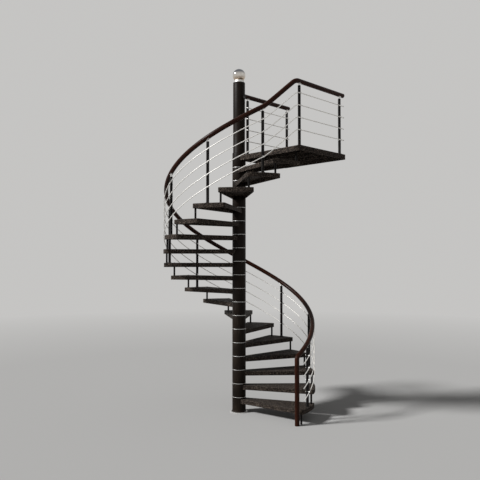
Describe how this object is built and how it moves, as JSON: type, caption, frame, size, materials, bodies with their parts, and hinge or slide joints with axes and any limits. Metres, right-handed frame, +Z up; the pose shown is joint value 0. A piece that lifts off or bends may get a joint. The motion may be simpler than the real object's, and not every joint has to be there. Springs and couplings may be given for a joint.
{
  "type": "spiral staircase",
  "caption": "Outdoor spiral staircase of folded steel treads round a tubular column, with a wooden handrail on steel rods and a square landing that meets a wall.",
  "frame": {"origin": "on the floor at the axis of the column, on the underside of the round foot plate", "axes": "+Z up along the column; +Y towards the wall that the landing meets; +X along that wall, so the flight starts and ends near +X and climbs counter-clockwise seen from above"},
  "size_m": [2.342, 2.244, 5.124],
  "materials": {
    "tread_grit": "coarse textured powder coat",
    "column_paint": "satin powder coat",
    "post_paint": "satin powder coat",
    "stainless": "ground and polished",
    "rail_wood": "stained and varnished"
  },
  "bodies": {
    "root": {"tread_01": "tread_grit", "tread_02": "tread_grit", "tread_03": "tread_grit", "tread_04": "tread_grit", "tread_05": "tread_grit", "tread_06": "tread_grit", "tread_07": "tread_grit", "tread_08": "tread_grit", "tread_09": "tread_grit", "tread_10": "tread_grit", "tread_11": "tread_grit", "tread_12": "tread_grit", "tread_13": "tread_grit", "tread_14": "tread_grit", "tread_15": "tread_grit", "tread_16": "tread_grit", "tread_17": "tread_grit", "tread_18": "tread_grit", "landing_tray": "tread_grit", "landing_ribs": "tread_grit", "column_hub_tubes": "column_paint", "column_upper_tube": "column_paint", "balusters": "post_paint", "landing_outer_posts": "post_paint", "landing_inner_posts": "post_paint", "link_posts_lower": "post_paint", "link_posts_middle": "post_paint", "link_posts_upper": "post_paint", "column_rings_and_ball": "stainless", "foot_plate": "stainless", "rail_pins": "stainless", "rod_clamps": "stainless", "rail_end_caps": "stainless", "rod_1": "stainless", "rod_2": "stainless", "rod_3": "stainless", "rod_4": "stainless", "inner_rods": "stainless", "rail_newel": "rail_wood", "rail_spiral": "rail_wood", "rail_landing": "rail_wood", "rail_inner": "rail_wood"}
  },
  "joints": []
}
